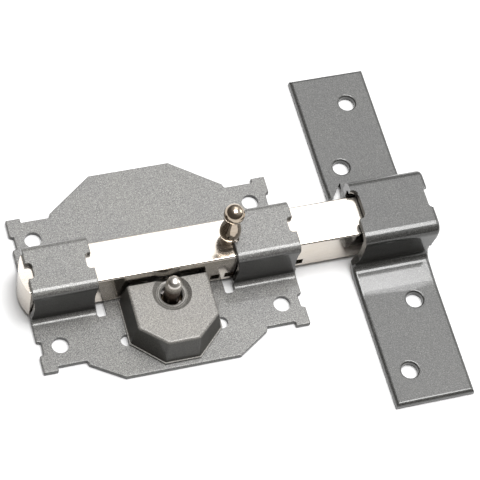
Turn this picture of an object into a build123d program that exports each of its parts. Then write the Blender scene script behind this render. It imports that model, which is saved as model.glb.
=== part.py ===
"""Surface-mounted sliding door bolt with a push-key lock, a pull knob and a strap keeper.

X runs along the bolt towards the keeper, Y across it, and Z out of the door. The origin is
the centre of the plate's four screw holes, on the plate's back face. Everything is in mm.
"""
import os
from math import pi, sqrt

from build123d import *

# How far a cut runs past a face, and how near a face an edge is to count as on it
CUT = 1.0
NEAR = 0.1

# Plate and its two pressed bridges
SHEET = 2.0
PLATE_HALF, PLATE_CORNER = 55.0, 0.5
FRONT_X, FRONT_Y = 23.6, -43.2
BACK_X, BACK_Y = 17.0, 49.2
TAPER_X, TAPER_Y = 36.6, 34.9
WAIST_X, WAIST_Y = 37.3, 33.1
LUG_X, LUG_TOP = 48.95, 35.1
SIDE_DISH = ((PLATE_HALF, 27.4), (53.4, 26.8), (53.2, 21.6), (PLATE_HALF, 21.0))
SCREW_X, SCREW_Y, SCREW_R = 45.9, 24.2, 3.5
BRIDGE_X0, BRIDGE_X1 = 28.5, 55.0
BRIDGE_HALF = 11.75
BRIDGE_TOP = 22.5
BRIDGE_BEND, BRIDGE_FOOT = 3.2, 2.3
OPENING_HALF = BRIDGE_HALF + BRIDGE_FOOT + 0.2
SLOT_X0, SLOT_END, SLOT_CORNER = 24.6, 15.2, 1.0
NOTCH_DEEP, NOTCH_HALF, NOTCH_CORNER = 2.7, 3.5, 1.6
WALL_NECK, WALL_NECK_HALF = 1.1, 8.0
WALL_CLEAR = 0.2
SHEET_EDGE = 0.5

# Bolt, its rack and its knob
BOLT_HALF = 9.0
BOLT_Z0, BOLT_Z1 = 2.3, 20.3
BOLT_LEFT, BOLT_RIGHT = -57.8, 109.5
END_SAGITTA = 2.6
BOLT_EDGE = 0.9
KNOB_X = 27.5
KNOB_NECK_R, KNOB_NECK_Z, KNOB_EDGE = 3.4, 22.7, 0.3
KNOB_BARREL = ((4.35, 26.0), (3.5, 31.2))
KNOB_WAIST_R = 2.3
BALL_R, BALL_Z = 4.2, 39.4
STUD_R, STUD_Z0, STUD_Z1 = 2.0, 12.3, 30.3

# Lock: axis, driving wheel, key barrel and tumblers
LOCK_X, LOCK_Y = 0.5, -16.5
TEETH = 10
PITCH_R = 9.375
TOOTH_R, TOOTH_STEM, TOOTH_FOOT_R = 1.2, 2.0, 5.0
WHEEL_BODY_R = 7.0
WHEEL_Z0, WHEEL_Z1 = 4.8, 7.6
RACK_Z0, RACK_Z1 = 4.5, 7.9
RACK_NOTCH, RACK_ROOT_Y = 3.8, -5.4
RACK_NOTCHES = 11
PIN_R, PIN_TOP, PIN_TAIL_R = 3.2, 25.0, 2.0
BARREL_R, BARREL_BORE_R = 6.0, 4.5
BARREL_Z0, BARREL_Z1, BARREL_FLOOR = 4.4, 11.0, 0.5
BARREL_SLOT_R, BARREL_SLOT_HALF, BARREL_SLOT_Z = 4.0, 0.8, 6.6
RING_R, RING_THICK = 5.6, 0.5
WASHER_R, WASHER_TOP, WASHER_GAP = 6.5, 4.3, 0.1
FOLLOWER_R, FOLLOWER_Z0, FOLLOWER_Z1 = 4.4, 7.6, 8.2
RUNNING_GAP = 0.06
TUMBLERS = 4
TUMBLER_R0, TUMBLER_R1, TUMBLER_HALF, TUMBLER_TOP = 3.6, 5.5, 0.75, 10.3
TUMBLER_TURN = 45
SPRING_WIRE, SPRING_R, SPRING_TURNS, SPRING_GAP = 0.2, 3.85, 2.5, 0.02

# Lock base, housing and cover
BASE_Z = 4.0
LOCK_FAR_Y = -10.8
BASE_PLAN, BASE_CORNER = ((8.0, -36.0), (15.0, -29.5), (15.0, LOCK_FAR_Y)), 1.0
HOUSING_Z0, HOUSING_Z1 = 8.1, 11.2
HOUSING_PLAN, HOUSING_CORNER = ((10.5, -29.0), (14.6, -26.5), (14.6, LOCK_FAR_Y)), 0.8
COVER_TOP = 14.5
COVER_SHEET = 1.5
COVER_LIP, COVER_LIP_THICK = 0.35, 0.8
COVER_FAR_Y = -10.4
COVER_FOOT = ((7.2, -40.7), (18.8, -29.6))
COVER_HEAD = ((6.3, -38.1), (16.5, -29.2))
COVER_CORNER, COVER_RIM = 1.6, 1.2
RIVET_R = 1.4
RIVET_HEAD_R, RIVET_HEAD = 2.4, 0.7
SCREW_HEAD_R, SCREW_HEAD = 2.2, 0.9
FAR_PILLAR_R, NEAR_PILLAR_R = 1.7, 2.1
PILLARS = ((-12.6, -26.8), (12.6, -26.8), (-13.2, -12.7), (13.2, -12.7))
RIVETS = ((-6.0, -33.4), (6.0, -33.4))
COVER_TABS = ((-18.05, -20.0, 1.2, 5.0), (18.05, -20.0, 1.2, 5.0), (0.0, -39.95, 5.0, 1.2))
TAB_Z0, TAB_RISE, TAB_GAP = 0.2, 0.4, 0.1
DISH_R, KEY_HOLE_R = 7.9, 4.5
DISH = ((6.3, 1.7), (5.9, 1.8), (5.6, 1.45), (5.2, 1.45), (KEY_HOLE_R, 2.0), (KEY_HOLE_R, 2.7),
        (6.0, 2.8))
TIE_HOLE_X, TIE_HOLE_Y, TIE_HOLE_R = 19.6, -27.5, 2.6

# Keeper strap
KEEPER_SHEET = 3.0
KEEPER_X0, KEEPER_X1 = 78.3, 111.4
KEEPER_HALF_Y = 78.2
ARCH_X0, ARCH_X1 = 81.3, 113.4
ARCH_HALF = 15.0
ARCH_TOP = 24.2
ARCH_BEND, ARCH_FOOT = 4.5, 3.5
BOW_RISE, BOW_Y, BOW_R = 1.1, 29.0, 60.0
STEP_X, STEP_Y, STEP_INNER_Y, STEP_DEEP = 84.4, 18.4, 10.0, 13.4
STEP_Z0, STEP_Z1 = 9.0, 16.0
FLARE_Z0, FLARE_Z1, FLARE_Z2, FLARE_LEAD = 5.0, 9.0, 14.0, 0.6
LANCE_TIP, LANCE_X0 = (85.3, 25.2), 80.3
NECK_Z, NECK_HALF = 11.0, 7.5
ARCH_NOTCHES = ((ARCH_X0, 2.75, 6.75, 2.9), (ARCH_X1, 0.65, 4.95, 2.0))
NOTCH_ROUND = 0.8
STRAP_EDGE, HOLE_RIM = 1.5, 0.8
KEEPER_HOLE_R = 3.5
KEEPER_HOLE_SPAN = 96.5
KEEPER_HOLES = ((99.9, 14.6), (88.2, -15.7))


def outline(points, radius=0):
    """A flat face from its corner points, with every corner rounded."""
    face = make_face(Polyline(*points, close=True))
    return fillet(face.vertices(), radius) if radius else face


def box(x0, x1, y0, y1, z0, z1):
    """A block given by its two corners."""
    block = Box(x1 - x0, y1 - y0, z1 - z0)
    return Pos((x0 + x1) / 2, (y0 + y1) / 2, (z0 + z1) / 2) * block


def rod(x, y, z0, z1, radius):
    """A round bar along Z."""
    return Pos(x, y, (z0 + z1) / 2) * Cylinder(radius, z1 - z0)


def tube(x, y, z0, z1, outer, inner):
    """A round tube along Z."""
    return rod(x, y, z0, z1, outer) - rod(x, y, z0 - CUT, z1 + CUT, inner)


def turned(points, x, y):
    """A solid of revolution about a vertical axis, from (radius, z) points."""
    face = Plane.XZ * make_face(Polyline(*points, close=True))
    return Pos(x, y, 0) * revolve(face, Axis.Z)


def mirrored(points):
    """An outline that is the same left and right: the right half, then its reflection."""
    return [*points, *((-x, y) for x, y in reversed(points))]


def strap_section(half, top, sheet, bend, foot, end, bow_rise=0.0, bow_y=0.0):
    """The hat-shaped section of a strap bent over a bar, in Y and Z.

    With a bow, the flanges rise by bow_rise from bow_y to the foot of each wall.
    """
    inner = half - sheet
    right = [(end, sheet), (bow_y, sheet), (half, sheet + bow_rise), (half, top),
             (inner, top - sheet), (inner, bow_rise), (bow_y, 0), (end, 0)]
    if not bow_rise:
        right = [p for p in right if p[0] != bow_y]
    outside, inside = right[:len(right) // 2], right[len(right) // 2:]
    points = [(-y, z) for y, z in outside] + outside[::-1] + inside[::-1] + [(-y, z) for y, z in inside]
    face = outline(points)
    rounds = [(half, top, bend), (inner, top - sheet, bend - sheet),
              (half, sheet + bow_rise, foot), (inner, bow_rise, foot + sheet)]
    if bow_rise:
        rounds += [(bow_y, sheet, BOW_R), (bow_y, 0, BOW_R)]
    for y, z, radius in rounds:
        for side in (-1, 1):
            vertex = face.vertices().sort_by_distance((side * y, z, 0))[0]
            face = fillet([vertex], radius)
    return face


def edge_neck(edge_x, inward, z_mid, half_height, depth, y0, y1):
    """A shallow round bite out of a wall's side edge, where the sheet was stretched."""
    radius = (half_height ** 2 + depth ** 2) / (2 * depth)
    centre_x = edge_x - inward * (radius - depth)
    bite = Cylinder(radius, y1 - y0, rotation=(90, 0, 0))
    return Pos(centre_x, (y0 + y1) / 2, z_mid) * bite


def plate_outline():
    """Four corner lugs and two dished ends, with a tapered front edge and a tapered back edge."""
    corner = [(TAPER_X, TAPER_Y), (WAIST_X, WAIST_Y), (LUG_X, WAIST_Y), (LUG_X, LUG_TOP),
              (PLATE_HALF, LUG_TOP), *SIDE_DISH]
    right = [(FRONT_X, FRONT_Y), *((x, -y) for x, y in corner), *reversed(corner), (BACK_X, BACK_Y)]
    return outline(mirrored(right), PLATE_CORNER)


def bridge():
    """One pressed bridge, at the keeper end of the plate."""
    section = strap_section(BRIDGE_HALF, BRIDGE_TOP, SHEET, BRIDGE_BEND, BRIDGE_FOOT, OPENING_HALF)
    body = Pos(BRIDGE_X0, 0, 0) * extrude(Plane.YZ * section, BRIDGE_X1 - BRIDGE_X0)
    top_ends = [e for e in body.edges().filter_by(Axis.Y) if e.center().Z > BRIDGE_TOP - NEAR]
    body = fillet(top_ends, SHEET_EDGE)
    z_mid = (SHEET + BRIDGE_TOP) / 2
    for side in (-1, 1):
        y0, y1 = sorted((side * (BRIDGE_HALF - SHEET - WALL_CLEAR), side * (BRIDGE_HALF + WALL_CLEAR)))
        body -= edge_neck(BRIDGE_X0, 1, z_mid, WALL_NECK_HALF, WALL_NECK, y0, y1)
        body -= edge_neck(BRIDGE_X1, -1, z_mid, WALL_NECK_HALF, WALL_NECK, y0, y1)
    for edge_x in (BRIDGE_X0, BRIDGE_X1):
        notch = RectangleRounded(2 * NOTCH_DEEP, 2 * NOTCH_HALF, NOTCH_CORNER)
        body -= Pos(edge_x, 0, BRIDGE_TOP - 2 * SHEET) * extrude(notch, 3 * SHEET)
    return body


def base_plate():
    """Blanked plate with a bridge pressed up at each end."""
    plate = extrude(plate_outline(), SHEET)
    plate = fillet(plate.edges().group_by(Axis.Z)[-1], SHEET_EDGE)
    arch = bridge()
    for side in (-1, 1):
        x0, x1 = sorted((side * BRIDGE_X0, side * (PLATE_HALF + CUT)))
        plate -= box(x0, x1, -OPENING_HALF, OPENING_HALF, -CUT, SHEET + CUT)
        slot = RectangleRounded(BRIDGE_X0 - SLOT_X0, 2 * SLOT_END, SLOT_CORNER)
        plate -= Pos(side * (SLOT_X0 + BRIDGE_X0) / 2, 0, -CUT) * extrude(slot, SHEET + 2 * CUT)
        plate += arch if side > 0 else mirror(arch, about=Plane.YZ)
        for y in (-SCREW_Y, SCREW_Y):
            plate -= rod(side * SCREW_X, y, -CUT, SHEET + CUT, SCREW_R)
        plate -= rod(side * TIE_HOLE_X, TIE_HOLE_Y, -CUT, SHEET + CUT, TIE_HOLE_R)
    for x, y in fixing_points():
        plate -= rod(x, y, -CUT, SHEET + CUT, RIVET_R)
    plate -= rod(LOCK_X, LOCK_Y, -CUT, SHEET + CUT, PIN_TAIL_R)
    for x, y, along_x, along_y in COVER_TABS:
        half_x, half_y = along_x / 2 + TAB_GAP, along_y / 2 + TAB_GAP
        plate -= box(x - half_x, x + half_x, y - half_y, y + half_y, -CUT, SHEET + CUT)
    return plate


def rack_bolt():
    """Square bar with bowed ends, rounded edges, a rack in its front face and a stud hole."""
    length = BOLT_RIGHT - BOLT_LEFT
    x0, x1 = BOLT_LEFT + END_SAGITTA, BOLT_RIGHT - END_SAGITTA
    sides = [Line((x0, -BOLT_HALF), (x1, -BOLT_HALF)),
             ThreePointArc((x1, -BOLT_HALF), (BOLT_RIGHT, 0), (x1, BOLT_HALF)),
             Line((x1, BOLT_HALF), (x0, BOLT_HALF)),
             ThreePointArc((x0, BOLT_HALF), (BOLT_LEFT, 0), (x0, -BOLT_HALF))]
    bar = Pos(0, 0, BOLT_Z0) * extrude(make_face(sides), BOLT_Z1 - BOLT_Z0)
    long_edges = [e for e in bar.edges().filter_by(Axis.X) if e.length > length / 2]
    bar = fillet(long_edges, BOLT_EDGE)
    pitch = 2 * pi * PITCH_R / TEETH
    for i in range(RACK_NOTCHES):
        x = LOCK_X + (i - 0.5) * pitch
        bar -= box(x - RACK_NOTCH / 2, x + RACK_NOTCH / 2, -BOLT_HALF - CUT, RACK_ROOT_Y, RACK_Z0, RACK_Z1)
    return bar - rod(KNOB_X, 0, STUD_Z0, BOLT_Z1 + CUT, STUD_R)


def knob():
    """Turned pull: a short neck, a barrel, a waist and a ball, bored for the stud."""
    waist_z = BALL_Z - sqrt(BALL_R ** 2 - KNOB_WAIST_R ** 2)
    foot_r = KNOB_NECK_R - KNOB_EDGE
    profile = [Line((0, BOLT_Z1), (foot_r, BOLT_Z1)),
               Line((foot_r, BOLT_Z1), (KNOB_NECK_R, BOLT_Z1 + KNOB_EDGE)),
               Line((KNOB_NECK_R, BOLT_Z1 + KNOB_EDGE), (KNOB_NECK_R, KNOB_NECK_Z)),
               Spline((KNOB_NECK_R, KNOB_NECK_Z), *KNOB_BARREL, (KNOB_WAIST_R, waist_z)),
               ThreePointArc((KNOB_WAIST_R, waist_z), (BALL_R, BALL_Z), (0, BALL_Z + BALL_R)),
               Line((0, BALL_Z + BALL_R), (0, BOLT_Z1))]
    body = revolve(Plane.XZ * make_face(profile), Axis.Z)
    return Pos(KNOB_X, 0, 0) * (body - rod(0, 0, BOLT_Z1 - CUT, STUD_Z1, STUD_R))


def toothed_wheel():
    """Driving wheel with round-ended teeth on its pitch circle."""
    tooth = Pos(PITCH_R, 0) * Circle(TOOTH_R)
    tooth += Pos((PITCH_R + TOOTH_FOOT_R) / 2, 0) * Rectangle(PITCH_R - TOOTH_FOOT_R, TOOTH_STEM)
    face = Circle(WHEEL_BODY_R)
    for i in range(TEETH):
        face += Rot(0, 0, 360 * (i + 0.5) / TEETH + 90) * tooth
    face -= Circle(BARREL_R)
    return Pos(LOCK_X, LOCK_Y, WHEEL_Z0) * extrude(face, WHEEL_Z1 - WHEEL_Z0)


def tumbler_angle(i):
    """Where a tumbler and its slot stand round the barrel, in degrees."""
    return 360 * i / TUMBLERS + TUMBLER_TURN


def key_barrel():
    """Slotted tube the hollow key turns: closed by a floor that runs on the guide pin."""
    floor_top = BARREL_Z0 + BARREL_FLOOR
    body = tube(0, 0, BARREL_Z0, BARREL_Z1, BARREL_R, BARREL_BORE_R)
    body += tube(0, 0, BARREL_Z0, floor_top, BARREL_BORE_R + NEAR, PIN_R + RUNNING_GAP)
    body -= rod(0, 0, BARREL_Z1 - RING_THICK, BARREL_Z1 + CUT, RING_R)
    for i in range(TUMBLERS):
        slot = box(BARREL_SLOT_R, RING_R, -BARREL_SLOT_HALF, BARREL_SLOT_HALF, BARREL_SLOT_Z, BARREL_Z1 + CUT)
        body -= Rot(0, 0, tumbler_angle(i)) * slot
    return Pos(LOCK_X, LOCK_Y, 0) * body


def tumbler(i):
    """Thin blade in a barrel slot, standing on the follower ring."""
    blade = box(TUMBLER_R0, TUMBLER_R1, -TUMBLER_HALF, TUMBLER_HALF, FOLLOWER_Z1, TUMBLER_TOP)
    return Pos(LOCK_X, LOCK_Y, 0) * Rot(0, 0, tumbler_angle(i)) * blade


def tumbler_spring():
    """Coil round the guide pin, from the barrel's floor to the follower ring."""
    z0 = BARREL_Z0 + BARREL_FLOOR + SPRING_WIRE + SPRING_GAP
    z1 = FOLLOWER_Z0 - SPRING_WIRE - SPRING_GAP
    path = Helix((z1 - z0) / SPRING_TURNS, z1 - z0, SPRING_R)
    start = Plane(origin=path @ 0, z_dir=path % 0)
    coil = sweep(start * Circle(SPRING_WIRE), path=path, is_frenet=True)
    return Pos(LOCK_X, LOCK_Y, z0) * coil


def lock_base():
    """Flat base of the lock, riveted to the plate, that carries the guide pin."""
    body = Pos(0, 0, SHEET) * extrude(outline(mirrored(BASE_PLAN), BASE_CORNER), BASE_Z - SHEET)
    for x, y in fixing_points():
        body -= rod(x, y, 0, BASE_Z + CUT, RIVET_R)
    return body - rod(LOCK_X, LOCK_Y, 0, BASE_Z + CUT, PIN_TAIL_R)


def fixing_points():
    """Holes through plate and lock base: two for the housing's screws, two for rivets."""
    return PILLARS[:2] + RIVETS


def fastener(x, y, seat, head_r, head):
    """A shank from the plate's back up to its seat, under a round head."""
    return rod(x, y, 0, seat, RIVET_R) + rod(x, y, seat, seat + head, head_r)


def base_rivets():
    """Rivets that hold the lock base to the plate, flush at the back."""
    return [fastener(x, y, BASE_Z, RIVET_HEAD_R, RIVET_HEAD) for x, y in RIVETS]


def housing_screws():
    """Screws through the housing's front pillars into the plate."""
    return [fastener(x, y, HOUSING_Z1, SCREW_HEAD_R, SCREW_HEAD) for x, y in PILLARS[:2]]


def pump_housing():
    """Cast block whose bore the key barrel runs in, on four short pillars."""
    plan = outline(mirrored(HOUSING_PLAN), HOUSING_CORNER)
    body = Pos(0, 0, HOUSING_Z0) * extrude(plan, HOUSING_Z1 - HOUSING_Z0)
    for x, y in PILLARS:
        body += rod(x, y, BASE_Z, HOUSING_Z0, FAR_PILLAR_R if y > LOCK_Y else NEAR_PILLAR_R)
    for x, y in PILLARS[:2]:
        body -= rod(x, y, 0, HOUSING_Z1 + CUT, RIVET_R)
    return body - rod(LOCK_X, LOCK_Y, 0, HOUSING_Z1 + CUT, BARREL_R + RUNNING_GAP)


def guide_pin():
    """Round-nosed pin the hollow key slides over, riveted through base and plate."""
    body = rod(LOCK_X, LOCK_Y, 0, BASE_Z, PIN_TAIL_R)
    body += rod(LOCK_X, LOCK_Y, BASE_Z, PIN_TOP - PIN_R, PIN_R)
    return body + Pos(LOCK_X, LOCK_Y, PIN_TOP - PIN_R) * Sphere(PIN_R)


def cover_plan(corners, inset, far_y):
    """The cover seen from above, from its nose and side corners, with its wall moved in."""
    (nose_x, nose_y), (side_x, side_y) = corners
    return outline(mirrored([(nose_x - 0.4 * inset, nose_y + inset), (side_x - inset, side_y + 0.6 * inset),
                             (side_x - inset, far_y)]))


def cover_skin(inset, top, far_y):
    """The cover's tapered outside or inside, as a solid."""
    foot = Pos(0, 0, SHEET) * cover_plan(COVER_FOOT, inset, far_y)
    return loft([foot, Pos(0, 0, top) * cover_plan(COVER_HEAD, inset, far_y)])


def lock_cover():
    """Pressed cover, open towards the bolt, with a dished key hole and three staked tabs."""
    outer = cover_skin(0, COVER_TOP, COVER_FAR_Y)
    upright = [e for e in outer.edges() if abs(e.tangent_at(0.5).Z) > 0.5 and e.center().Y < LOCK_Y]
    outer = fillet(upright, COVER_CORNER)
    rim = [e for e in outer.edges().group_by(Axis.Z)[-1] if e.center().Y < COVER_FAR_Y - CUT]
    outer = fillet(rim, COVER_RIM)
    lip = extrude(cover_plan(COVER_FOOT, -COVER_LIP, COVER_FAR_Y), COVER_LIP_THICK)
    outer += Pos(0, 0, SHEET) * lip
    body = outer - cover_skin(COVER_SHEET, COVER_TOP - COVER_SHEET, COVER_FAR_Y + 5 * CUT)
    body -= rod(LOCK_X, LOCK_Y, COVER_TOP - 2 * COVER_SHEET, COVER_TOP + CUT, DISH_R)
    dish = [(r, COVER_TOP - deep) for r, deep in DISH]
    joined_r = DISH_R + 0.01
    body += turned([(joined_r, COVER_TOP), *dish, (joined_r, COVER_TOP - COVER_SHEET)], LOCK_X, LOCK_Y)
    body -= box(-DISH_R, DISH_R + CUT, COVER_FAR_Y, COVER_FAR_Y + 2 * CUT, SHEET, COVER_TOP + CUT)
    for x, y, along_x, along_y in COVER_TABS:
        body += box(x - along_x / 2, x + along_x / 2, y - along_y / 2, y + along_y / 2,
                    TAB_Z0, SHEET + TAB_RISE)
    return body


def keeper():
    """Strap bent over the bolt's end, with lanced side edges and four screw holes."""
    section = strap_section(ARCH_HALF, ARCH_TOP, KEEPER_SHEET, ARCH_BEND, ARCH_FOOT, KEEPER_HALF_Y,
                            BOW_RISE, BOW_Y)
    body = Pos(KEEPER_X0, 0, 0) * extrude(Plane.YZ * section, KEEPER_X1 - KEEPER_X0)
    long_edges = [e for e in body.edges() if e.center().Z > KEEPER_SHEET - NEAR and e.length > ARCH_TOP]
    body = fillet([e for e in long_edges if abs(e.center().Y) > BOW_Y], STRAP_EDGE)
    arch = Pos(ARCH_X0, 0, 0) * extrude(Plane.YZ * section, ARCH_X1 - ARCH_X0)
    arch = fillet([e for e in arch.edges() if e.center().X > ARCH_X1 - NEAR
                   and e.center().Z > ARCH_TOP - NEAR], STRAP_EDGE)
    past_y, top, left = KEEPER_HALF_Y + CUT, ARCH_TOP + CUT, KEEPER_X0 - CUT
    body += arch - box(ARCH_X0 - CUT, ARCH_X1 + CUT, -past_y, past_y, -CUT, NECK_Z)
    for side in (-1, 1):
        y0, y1 = sorted((side * (ARCH_HALF - KEEPER_SHEET - WALL_CLEAR), side * (ARCH_HALF + ARCH_FOOT)))
        body -= edge_neck(ARCH_X1, -1, NECK_Z, NECK_HALF, ARCH_X1 - KEEPER_X1, y0, y1)
    flare = [(left, FLARE_Z0), (KEEPER_X0, FLARE_Z0), (ARCH_X0 - FLARE_LEAD, FLARE_Z1), (ARCH_X0, FLARE_Z2),
             (ARCH_X0, top), (left, top)]
    body -= Pos(0, 2 * ARCH_HALF, 0) * extrude(Plane.XZ * outline(flare), 4 * ARCH_HALF)
    body -= box(left, ARCH_X0, -STEP_INNER_Y, STEP_Y, -CUT, top)
    set_back = [(left, -CUT), (STEP_X, -CUT), (STEP_X, STEP_Z0), (ARCH_X0, STEP_Z1), (left, STEP_Z1)]
    body -= Pos(0, STEP_Y, 0) * extrude(Plane.XZ * outline(set_back), STEP_DEEP)
    lance = [(LANCE_X0, STEP_Y - CUT), (LANCE_X0, STEP_Y), LANCE_TIP, (STEP_X, STEP_Y),
             (STEP_X, STEP_Y - CUT)]
    body -= Pos(0, 0, -CUT) * extrude(outline(lance), STEP_Z0 + CUT)
    for edge_x, y, half, deep in ARCH_NOTCHES:
        notch = RectangleRounded(2 * deep, 2 * half, NOTCH_ROUND * deep)
        body -= Pos(edge_x, y, ARCH_TOP - 2 * KEEPER_SHEET) * extrude(notch, 3 * KEEPER_SHEET)
    for x, y in KEEPER_HOLES:
        for side in (-1, 1):
            body -= rod(x, y + side * KEEPER_HOLE_SPAN / 2, -CUT, KEEPER_SHEET + CUT, KEEPER_HOLE_R)
    rims = body.edges().filter_by(GeomType.CIRCLE).filter_by_position(Axis.Z, KEEPER_SHEET, KEEPER_SHEET)
    return fillet([e for e in rims if abs(e.center().Y) > BOW_Y], HOLE_RIM)


NODES = {
    "base_plate": base_plate,
    "lock_base": lock_base,
    "base_rivets": base_rivets,
    "guide_pin": guide_pin,
    "pump_housing": pump_housing,
    "housing_screws": housing_screws,
    "lock_cover": lock_cover,
    "thrust_washer": lambda: tube(LOCK_X, LOCK_Y, BASE_Z, WASHER_TOP, WASHER_R, PIN_R + WASHER_GAP),
    "toothed_wheel": toothed_wheel,
    "key_barrel": key_barrel,
    "barrel_ring": lambda: tube(LOCK_X, LOCK_Y, BARREL_Z1 - RING_THICK, BARREL_Z1, RING_R, BARREL_BORE_R),
    "tumbler_spring": tumbler_spring,
    "follower_ring": lambda: tube(LOCK_X, LOCK_Y, FOLLOWER_Z0, FOLLOWER_Z1, FOLLOWER_R, PIN_R + RUNNING_GAP),
    "bolt": rack_bolt,
    "knob": knob,
    "knob_stud": lambda: rod(KNOB_X, 0, STUD_Z0, STUD_Z1, STUD_R),
    "keeper": keeper,
}

os.makedirs("parts", exist_ok=True)
for name, make in NODES.items():
    shape = make()
    export_step(Compound(children=shape) if isinstance(shape, list) else shape, f"parts/{name}.step")
for i in range(TUMBLERS):
    export_step(tumbler(i), f"parts/tumbler_{i + 1}.step")
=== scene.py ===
from math import cos, pi, radians, sin

import bpy
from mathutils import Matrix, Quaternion, Vector


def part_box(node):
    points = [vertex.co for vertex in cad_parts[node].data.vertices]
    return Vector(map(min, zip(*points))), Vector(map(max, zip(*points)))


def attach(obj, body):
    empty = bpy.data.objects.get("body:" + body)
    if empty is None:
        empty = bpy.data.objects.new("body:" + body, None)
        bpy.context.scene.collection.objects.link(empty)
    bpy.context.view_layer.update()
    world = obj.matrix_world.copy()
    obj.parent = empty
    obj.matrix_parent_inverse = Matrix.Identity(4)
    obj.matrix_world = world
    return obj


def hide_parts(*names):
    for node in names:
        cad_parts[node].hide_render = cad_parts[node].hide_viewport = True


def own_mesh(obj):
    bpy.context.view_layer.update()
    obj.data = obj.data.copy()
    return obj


# ---------------------------------------------------------------------------------------------
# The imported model. Every piece of the bolt comes from it, at its real size and place, so this
# file gives the pieces their finishes and winds the one piece that changes shape, the spring.
# ---------------------------------------------------------------------------------------------
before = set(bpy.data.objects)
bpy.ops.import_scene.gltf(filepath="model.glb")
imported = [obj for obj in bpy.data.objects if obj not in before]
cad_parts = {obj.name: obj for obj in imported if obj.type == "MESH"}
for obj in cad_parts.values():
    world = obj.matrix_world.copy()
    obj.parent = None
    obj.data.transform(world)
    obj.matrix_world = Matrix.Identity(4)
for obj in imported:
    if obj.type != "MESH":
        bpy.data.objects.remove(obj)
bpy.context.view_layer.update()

# ---------------------------------------------------------------------------------------------
# Bench, lamps and camera. A plain white table under a wide overhead softbox, two smaller ones
# at the far side and the right, and surroundings that are bright overhead and dim low down.
# ---------------------------------------------------------------------------------------------
CAMERA_AT = Vector((-0.18051, -0.39319, 0.78069))
CAMERA_LOOKS_AT = Vector((0.03750, 0.00862, 0.0))
CAMERA_ROLL = radians(14.943)
LENS = 165.31
SENSOR = 36.0
NEAREST, FARTHEST = 0.01, 20.0
LAMPS_AIM_AT = Vector((0.02, 0, 0))
SKY_TOWARD = (0.45, 0.25, 0.80)
SKY_STOPS = ((0.12, (0.150, 0.140, 0.130)), (0.42, (0.20, 0.19, 0.18)), (0.85, (1.0, 1.0, 1.0)))
SKY_STRENGTH = 0.8
TABLE_SIZE, TABLE_DROP = 6.0, 0.00005
TABLE_WHITE = (0.86, 0.86, 0.86, 1)

scene = bpy.context.scene
scene.view_settings.view_transform = "Standard"
camera = bpy.data.objects.new("camera", bpy.data.cameras.new("camera"))
camera.data.lens, camera.data.sensor_width = LENS, SENSOR
camera.data.clip_start, camera.data.clip_end = NEAREST, FARTHEST
camera.location = CAMERA_AT
looking = (CAMERA_LOOKS_AT - CAMERA_AT).to_track_quat("-Z", "Y")
camera.rotation_mode = "QUATERNION"
camera.rotation_quaternion = looking @ Quaternion((0, 0, 1), CAMERA_ROLL)
scene.collection.objects.link(camera)
scene.camera = camera


def softbox(name, at, size, watts):
    """A square lamp aimed at the middle of the bolt."""
    lamp = bpy.data.lights.new(name, "AREA")
    lamp.size, lamp.energy = size, watts
    item = bpy.data.objects.new(name, lamp)
    item.location = at
    item.rotation_mode = "QUATERNION"
    item.rotation_quaternion = (LAMPS_AIM_AT - Vector(at)).to_track_quat("-Z", "Y")
    scene.collection.objects.link(item)
    return item


# The overhead one hangs level and shines straight down
overhead = softbox("overhead_softbox", at=(0.20, 0.01, 1.47), size=0.90, watts=25.0)
overhead.rotation_quaternion = Quaternion()
softbox("far_softbox", at=(0.48, 0.80, 1.12), size=0.7, watts=2.7)
softbox("right_softbox", at=(1.3, 0.1, 0.6), size=0.6, watts=3.0)


def settings(item, **values):
    """Sets a shader node's inputs by name."""
    for key, value in values.items():
        item.inputs[key.replace("_", " ")].default_value = value


def ramp(tree, source, stops):
    """A colour ramp on a value, from (position, colour) stops."""
    item = tree.nodes.new("ShaderNodeValToRGB")
    item.color_ramp.elements[0].position, item.color_ramp.elements[1].position = stops[0][0], stops[-1][0]
    for position, _ in stops[1:-1]:
        item.color_ramp.elements.new(position)
    for element, (_, colour) in zip(item.color_ramp.elements, stops):
        element.color = tuple(colour) + (1,)
    tree.links.new(source, item.inputs["Fac"])
    return item.outputs["Color"]


world = bpy.data.worlds.new("studio")
scene.world = world
world.use_nodes = True
sky_tree = world.node_tree
direction = sky_tree.nodes.new("ShaderNodeTexCoord")
toward = sky_tree.nodes.new("ShaderNodeVectorMath")
toward.operation = "DOT_PRODUCT"
toward.inputs[1].default_value = SKY_TOWARD
sky_tree.links.new(direction.outputs["Generated"], toward.inputs[0])
sky = sky_tree.nodes["Background"]
sky_tree.links.new(ramp(sky_tree, toward.outputs["Value"], SKY_STOPS), sky.inputs["Color"])
settings(sky, Strength=SKY_STRENGTH)

bpy.ops.mesh.primitive_plane_add(size=TABLE_SIZE, location=(0, 0, -TABLE_DROP))
table = bpy.context.object
table.name = "table"
white = bpy.data.materials.new("table_white")
white.use_nodes = True
settings(white.node_tree.nodes["Principled BSDF"], Base_Color=TABLE_WHITE, Roughness=0.9,
         Specular_IOR_Level=0.1)
table.data.materials.append(white)

# ---------------------------------------------------------------------------------------------
# Plate. Two-millimetre steel sheet, blanked with its bridges lanced and pressed up in one
# stroke, then sprayed in fine metallic grey. Its upright walls are darkened in colour as painted shade.
# ---------------------------------------------------------------------------------------------
FLECK_SCALE, GRAIN_SCALE, CLOUD_SCALE = 3300.0, 1800.0, 55.0
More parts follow.
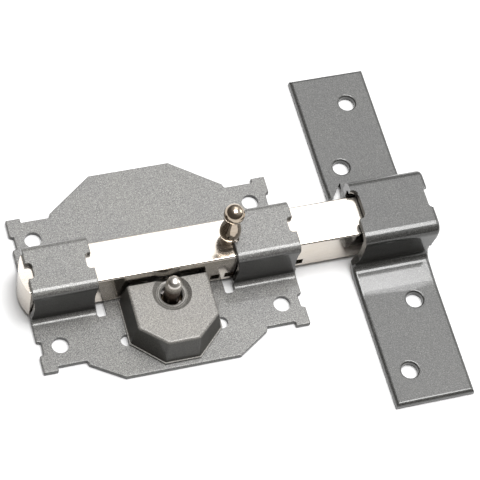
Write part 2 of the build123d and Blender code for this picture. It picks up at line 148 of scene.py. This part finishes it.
# The textures are turned off the axes, or their grain fades on flat faces at some heights
ASKEW = (0.6, 0.5, 0.3)
FLECK_DARK = 0.45
FLECK_DULL_AT, FLECK_PLAIN_AT, FLECK_BRIGHT_AT = 0.36, 0.5, 0.66
MOTTLE_STOPS = ((0.3, (0.72, 0.72, 0.73)), (0.7, (1.26, 1.26, 1.24)))
DRIFT_STOPS = ((0.3, (0.95, 0.95, 0.96)), (0.7, (1.04, 1.04, 1.02)))
WALL_SLOPE, FLAT_SLOPE = 0.25, 0.75
WALL_SHADE_WARMTH = 0.93
PEEL_DEPTH = 0.00004


def node(tree, kind, **values):
    """Adds a shader node and sets its inputs by name."""
    item = tree.nodes.new("ShaderNode" + kind)
    settings(item, **values)
    return item


def multiplied(tree, first, second):
    """One colour times another."""
    item = tree.nodes.new("ShaderNodeMix")
    item.data_type, item.blend_type = "RGBA", "MULTIPLY"
    item.inputs[0].default_value = 1.0
    tree.links.new(first, item.inputs[6])
    tree.links.new(second, item.inputs[7])
    return item.outputs[2]


def grey_paint(name, colour, wall_shade, gloss, sparkle):
    """Sprayed metallic paint over sheet steel: flecks, clouds, orange peel, painted shade on walls."""
    paint = bpy.data.materials.new(name)
    paint.use_nodes = True
    tree = paint.node_tree
    links, shader = tree.links, tree.nodes["Principled BSDF"]
    settings(shader, Metallic=0.25, Specular_IOR_Level=0.3, Coat_Weight=gloss, Coat_IOR=1.6,
             Coat_Roughness=0.09)
    place = tree.nodes.new("ShaderNodeTexCoord")
    askew = node(tree, "Mapping", Rotation=ASKEW)
    links.new(place.outputs["Object"], askew.inputs["Vector"])
    fleck = node(tree, "TexNoise", Scale=FLECK_SCALE, Detail=2.0, Roughness=0.7)
    grain = node(tree, "TexNoise", Scale=GRAIN_SCALE, Detail=3.0, Roughness=0.6)
    cloud = node(tree, "TexNoise", Scale=CLOUD_SCALE, Detail=3.0)
    for texture in (fleck, grain, cloud):
        links.new(askew.outputs["Vector"], texture.inputs["Vector"])
    dull, bright = [c * FLECK_DARK for c in colour], [c * sparkle for c in colour]
    fleck_stops = ((FLECK_DULL_AT, dull), (FLECK_PLAIN_AT, colour), (FLECK_BRIGHT_AT, bright))
    tint = ramp(tree, fleck.outputs["Fac"], fleck_stops)
    tint = multiplied(tree, tint, ramp(tree, grain.outputs["Fac"], MOTTLE_STOPS))
    tint = multiplied(tree, tint, ramp(tree, cloud.outputs["Fac"], DRIFT_STOPS))
    # Upright faces get a darker colour: mostly painted shade, partly the darker sheared edges.
    facing = tree.nodes.new("ShaderNodeSeparateXYZ")
    links.new(place.outputs["Normal"], facing.inputs[0])
    slope = tree.nodes.new("ShaderNodeMath")
    slope.operation = "ABSOLUTE"
    links.new(facing.outputs["Z"], slope.inputs[0])
    wall_shade_stops = ((WALL_SLOPE, (wall_shade, wall_shade, wall_shade * WALL_SHADE_WARMTH)), (FLAT_SLOPE, (1.0, 1.0, 1.0)))
    tint = multiplied(tree, tint, ramp(tree, slope.outputs[0], wall_shade_stops))
    links.new(tint, shader.inputs["Base Color"])
    rough = node(tree, "MapRange", From_Min=0.3, From_Max=0.7, To_Min=0.36, To_Max=0.52)
    links.new(grain.outputs["Fac"], rough.inputs["Value"])
    links.new(rough.outputs["Result"], shader.inputs["Roughness"])
    peel = node(tree, "Bump", Strength=0.2, Distance=PEEL_DEPTH)
    links.new(grain.outputs["Fac"], peel.inputs["Height"])
    for surface in ("Normal", "Coat Normal"):
        links.new(peel.outputs["Normal"], shader.inputs[surface])
    return paint


def dress(finish, *nodes):
    """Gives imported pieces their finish."""
    for name in nodes:
        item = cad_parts[name]
        item.data.materials.clear()
        item.data.materials.append(finish)


dress(grey_paint("plate_paint", colour=(0.145, 0.143, 0.138), wall_shade=0.10, gloss=0.65, sparkle=2.2),
      "base_plate")

# ---------------------------------------------------------------------------------------------
# Lock cover. A thinner sheet drawn into an open-sided box with a dished key hole, and staked
# through the plate by three tabs. It is sprayed with a paint a little lighter and less glossy.
# ---------------------------------------------------------------------------------------------
dress(grey_paint("cover_paint", colour=(0.216, 0.207, 0.193), wall_shade=0.17, gloss=0.25, sparkle=1.5),
      "lock_cover")

# ---------------------------------------------------------------------------------------------
# Keeper. Three-millimetre steel strap, cropped to length, pierced, and bent over the end of
# the bolt. Four screws hold it to the door frame. It is sprayed in a darker batch of the paint.
# ---------------------------------------------------------------------------------------------
dress(grey_paint("keeper_paint", colour=(0.043, 0.0428, 0.041), wall_shade=0.28, gloss=0.9, sparkle=3.2),
      "keeper")

# ---------------------------------------------------------------------------------------------
# Bolt and knob. A ground square bar that slides in the bridges, and a turned pull on a stud,
# both nickel plated. The bar keeps grinding lines along it, the knob faint rings round its axis.
# ---------------------------------------------------------------------------------------------
HAZE_SCALE = 120.0
HAZE_STOPS = ((0.35, (0.93, 0.91, 0.88)), (0.65, (1.0, 1.0, 1.0)))
MARKS_DARK, MARKS_BRIGHT = 0.3, 0.65
SMOOTHEST, ROUGHEST = 0.75, 1.35


def plated(name, colour, dark, roughness, grain, mark_depth=0.00001):
    """Plated or bare metal with tool marks: grain is the noise scale along X, Y and Z."""
    metal = bpy.data.materials.new(name)
    metal.use_nodes = True
    tree = metal.node_tree
    links, shader = tree.links, tree.nodes["Principled BSDF"]
    settings(shader, Metallic=1.0)
    place = tree.nodes.new("ShaderNodeTexCoord")
    stretch = node(tree, "Mapping", Scale=grain)
    links.new(place.outputs["Object"], stretch.inputs["Vector"])
    marks = node(tree, "TexNoise", Scale=1.0, Detail=4.0, Roughness=0.65)
    links.new(stretch.outputs["Vector"], marks.inputs["Vector"])
    haze = node(tree, "TexNoise", Scale=HAZE_SCALE, Detail=3.0)
    links.new(place.outputs["Object"], haze.inputs["Vector"])
    tint = ramp(tree, marks.outputs["Fac"], ((MARKS_DARK, dark), (MARKS_BRIGHT, colour)))
    film = ramp(tree, haze.outputs["Fac"], HAZE_STOPS)
    links.new(multiplied(tree, tint, film), shader.inputs["Base Color"])
    rough = node(tree, "MapRange", From_Min=0.3, From_Max=0.7, To_Min=roughness * SMOOTHEST,
                 To_Max=roughness * ROUGHEST)
    links.new(marks.outputs["Fac"], rough.inputs["Value"])
    links.new(rough.outputs["Result"], shader.inputs["Roughness"])
    lines = node(tree, "Bump", Strength=0.3, Distance=mark_depth)
    links.new(marks.outputs["Fac"], lines.inputs["Height"])
    links.new(lines.outputs["Normal"], shader.inputs["Normal"])
    return metal


dress(plated("bolt_nickel", colour=(0.70, 0.655, 0.60), dark=(0.56, 0.52, 0.47), roughness=0.16,
             grain=(60, 3500, 3500)), "bolt")
dress(plated("knob_nickel", colour=(0.50, 0.43, 0.35), dark=(0.38, 0.32, 0.26), roughness=0.10,
             grain=(90, 90, 3000)), "knob")

# ---------------------------------------------------------------------------------------------
# Guide pin. A turned steel pin with a round nose, riveted through the lock base and the plate.
# The hollow key slides over it. Its colour is darkened lower down as painted shade.
# ---------------------------------------------------------------------------------------------
UNSHADED_FROM_TOP, SHADED_FROM_TOP = 0.0038, 0.0065
PIN_SHADE_STOPS = ((0.0, (0.16, 0.12, 0.10)), (1.0, (1.0, 1.0, 1.0)))

pin_steel = plated("polished_steel", colour=(0.82, 0.79, 0.75), dark=(0.68, 0.65, 0.62), roughness=0.30,
                   grain=(90, 90, 3000))
pin_tree = pin_steel.node_tree
pin_colour = pin_tree.nodes["Principled BSDF"].inputs["Base Color"]
pin_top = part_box("guide_pin")[1][2]
# Painted shade: the pin's colour darkens towards its bottom, below the nose.
pin_place = pin_tree.nodes.new("ShaderNodeTexCoord")
pin_height = pin_tree.nodes.new("ShaderNodeSeparateXYZ")
pin_tree.links.new(pin_place.outputs["Object"], pin_height.inputs[0])
nose = node(pin_tree, "MapRange", From_Min=pin_top - SHADED_FROM_TOP, From_Max=pin_top - UNSHADED_FROM_TOP)
pin_tree.links.new(pin_height.outputs["Z"], nose.inputs["Value"])
bare = pin_colour.links[0].from_socket
pin_shade = ramp(pin_tree, nose.outputs["Result"], PIN_SHADE_STOPS)
pin_tree.links.new(multiplied(pin_tree, bare, pin_shade), pin_colour)
dress(pin_steel, "guide_pin")

# ---------------------------------------------------------------------------------------------
# Lock works. Zinc-plated steel base, wheel, rivets and screws, a die-cast housing, a brass
# barrel darkened in colour as painted shade, and spring steel tumblers, mostly hidden under the cover.
# ---------------------------------------------------------------------------------------------
dress(plated("zinc_steel", colour=(0.40, 0.41, 0.42), dark=(0.26, 0.27, 0.28), roughness=0.38,
             grain=(700, 700, 700), mark_depth=0.00003),
      "lock_base", "base_rivets", "housing_screws", "toothed_wheel", "barrel_ring", "knob_stud")
dress(plated("cast_zinc", colour=(0.30, 0.30, 0.30), dark=(0.18, 0.18, 0.18), roughness=0.55,
             grain=(1400, 1400, 1400), mark_depth=0.00008), "pump_housing")
# The brass parts seen down the key hole are coloured near black: painted shade.
dress(plated("brass_dark_as_shade", colour=(0.06, 0.045, 0.03), dark=(0.02, 0.016, 0.012), roughness=0.42,
             grain=(500, 500, 2500), mark_depth=0.00003),
      "key_barrel", "thrust_washer", "follower_ring")
spring_steel = plated("spring_steel", colour=(0.22, 0.21, 0.20), dark=(0.12, 0.11, 0.11),
                      roughness=0.35, grain=(2500, 2500, 300), mark_depth=0.00002)
dress(spring_steel, "tumbler_1", "tumbler_2", "tumbler_3", "tumbler_4")

# ---------------------------------------------------------------------------------------------
# Tumbler spring. Round spring wire wound into an open coil round the guide pin. It stands on
# the barrel's floor and shortens as the key pushes the tumblers down.
# ---------------------------------------------------------------------------------------------
WIRE_R = 0.0002
WIRE_FACETS = 3
SPRING_TURNS = 2.5
STEPS_PER_TURN = 48

(x0, y0, z0), (x1, y1, z1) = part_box("tumbler_spring")
axis_x, axis_y = (x0 + x1) / 2, (y0 + y1) / 2
coil_r = (x1 - x0) / 2 - WIRE_R
coil_height = z1 - z0 - 2 * WIRE_R
wire = bpy.data.curves.new("spring_wire", "CURVE")
wire.dimensions, wire.bevel_depth, wire.bevel_resolution = "3D", WIRE_R, WIRE_FACETS
wire.use_fill_caps = True
line = wire.splines.new("POLY")
steps = int(SPRING_TURNS * STEPS_PER_TURN)
line.points.add(steps)
for i, point in enumerate(line.points):
    angle = 2 * pi * i / STEPS_PER_TURN
    rise = z0 + WIRE_R + coil_height * i / steps
    point.co = (axis_x + coil_r * cos(angle), axis_y + coil_r * sin(angle), rise, 1)
wound = bpy.data.objects.new("spring_wire", wire)
scene.collection.objects.link(wound)
bpy.context.view_layer.update()
coil = bpy.data.objects.new("spring_coil", bpy.data.meshes.new_from_object(wound))
bpy.data.objects.remove(wound)
scene.collection.objects.link(coil)
coil.data.materials.clear()
coil.data.materials.append(spring_steel)
for face in coil.data.polygons:
    face.use_smooth = True
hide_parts("tumbler_spring")
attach(coil, "barrel")
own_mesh(coil)
